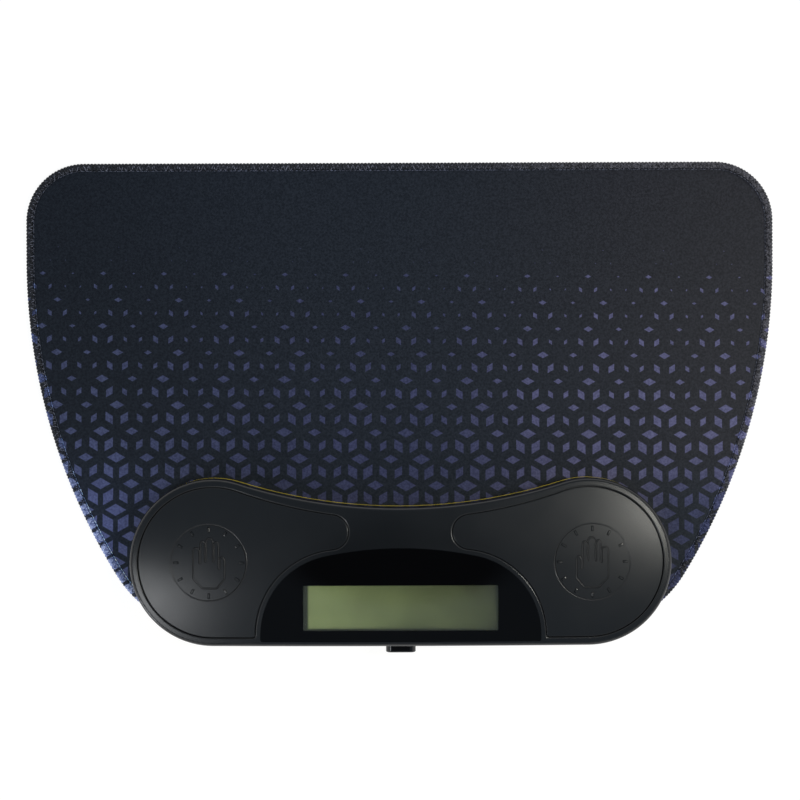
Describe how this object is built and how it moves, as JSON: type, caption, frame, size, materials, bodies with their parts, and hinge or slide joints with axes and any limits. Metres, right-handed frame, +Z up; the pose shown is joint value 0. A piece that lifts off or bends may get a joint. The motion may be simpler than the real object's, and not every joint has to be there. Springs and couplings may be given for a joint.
{
  "type": "speed cube timer with mat",
  "caption": "Competition timer for puzzle solving: dog-bone case with hand pads and LCD, snapped onto a stitched cloth mat.",
  "frame": {"origin": "middle of the whole footprint, on the underside of the mat", "axes": "+X along the case from the left pad to the right, +Y from the user's edge to the back of the mat, +Z up"},
  "size_m": [0.405, 0.264, 0.0269],
  "materials": {
    "mat_rubber": "matt foamed rubber",
    "mat_cloth": "printed polyester jersey, fine knit",
    "mat_thread": "overlocked polyester thread",
    "stud_rubber": "matt moulded rubber",
    "lower_case_plastic": "yellow moulded ABS, fine satin texture",
    "upper_case_plastic": "black moulded ABS, fine satin texture",
    "pad_plastic": "black moulded ABS, fine satin texture",
    "dome_silicone": "translucent white silicone",
    "circuit_board": "green solder mask on glass fibre",
    "ribbon_cable": "white flexible flat cable",
    "screw_steel": "zinc plated steel",
    "window_acrylic": "polished clear acrylic, printed black behind",
    "window_print": "black screen print",
    "lcd_glass": "polarised liquid crystal cell",
    "lcd_reflector": "grey-green reflective film",
    "lcd_frame_plastic": "black moulded ABS",
    "connector_rubber": "striped conductive silicone",
    "chip_resin": "black epoxy drop",
    "crystal_can": "drawn metal can",
    "button_plastic": "polished black ABS",
    "switch_plastic": "black moulded nylon",
    "plunger_plastic": "white moulded acetal",
    "cell_label": "plain sleeved dry cell",
    "contact_metal": "nickel plated spring steel",
    "wire_red": "red PVC insulation",
    "wire_black": "black PVC insulation",
    "foot_rubber": "soft black rubber"
  },
  "bodies": {
    "mat": {"mat_rubber_base": "mat_rubber", "mat_cloth_top": "mat_cloth", "mat_edge_stitching": "mat_thread", "mat_studs": "stud_rubber"},
    "timer_housing": {"lower_casing": "lower_case_plastic", "upper_casing": "upper_case_plastic", "left_contact_domes": "dome_silicone", "right_contact_domes": "dome_silicone", "left_sensor_board": "circuit_board", "right_sensor_board": "circuit_board", "left_sensor_ribbon": "ribbon_cable", "right_sensor_ribbon": "ribbon_cable", "sensor_board_screws": "screw_steel", "display_window": "window_acrylic", "window_mask": "window_print", "lcd_glass": "lcd_glass", "lcd_reflector": "lcd_reflector", "lcd_frame": "lcd_frame_plastic", "lcd_connector_strip": "connector_rubber", "main_circuit_board": "circuit_board", "timer_chip": "chip_resin", "quartz_crystal": "crystal_can", "board_screws": "screw_steel", "power_switch": "switch_plastic", "battery_door": "lower_case_plastic", "battery_door_screw": "screw_steel", "battery_cells": "cell_label", "battery_contacts": "contact_metal", "battery_lead_positive": "wire_red", "battery_lead_negative": "wire_black", "casing_screws": "screw_steel", "rubber_feet": "foot_rubber"},
    "left_pad": {"left_hand_pad": "pad_plastic"},
    "right_pad": {"right_hand_pad": "pad_plastic"},
    "power_key": {"power_button": "button_plastic", "power_switch_plunger": "plunger_plastic"}
  },
  "joints": [
    {"name": "timer_lift", "type": "slide", "parent": "mat", "child": "timer_housing", "axis": [0, 0, 1], "range_m": [0, 0.05]},
    {"name": "left_pad_press", "type": "slide", "parent": "timer_housing", "child": "left_pad", "axis": [0, 0, -1], "range_m": [0, 0.0012], "stiffness_N_per_m": 800, "springref_m": -0.001, "deforming": ["left_contact_domes"]},
    {"name": "right_pad_press", "type": "slide", "parent": "timer_housing", "child": "right_pad", "axis": [0, 0, -1], "range_m": [0, 0.0012], "stiffness_N_per_m": 800, "springref_m": -0.001, "deforming": ["right_contact_domes"]},
    {"name": "power_button_press", "type": "slide", "parent": "timer_housing", "child": "power_key", "axis": [0, 1, 0], "range_m": [0, 0.001], "stiffness_N_per_m": 400, "springref_m": -0.0015}
  ]
}
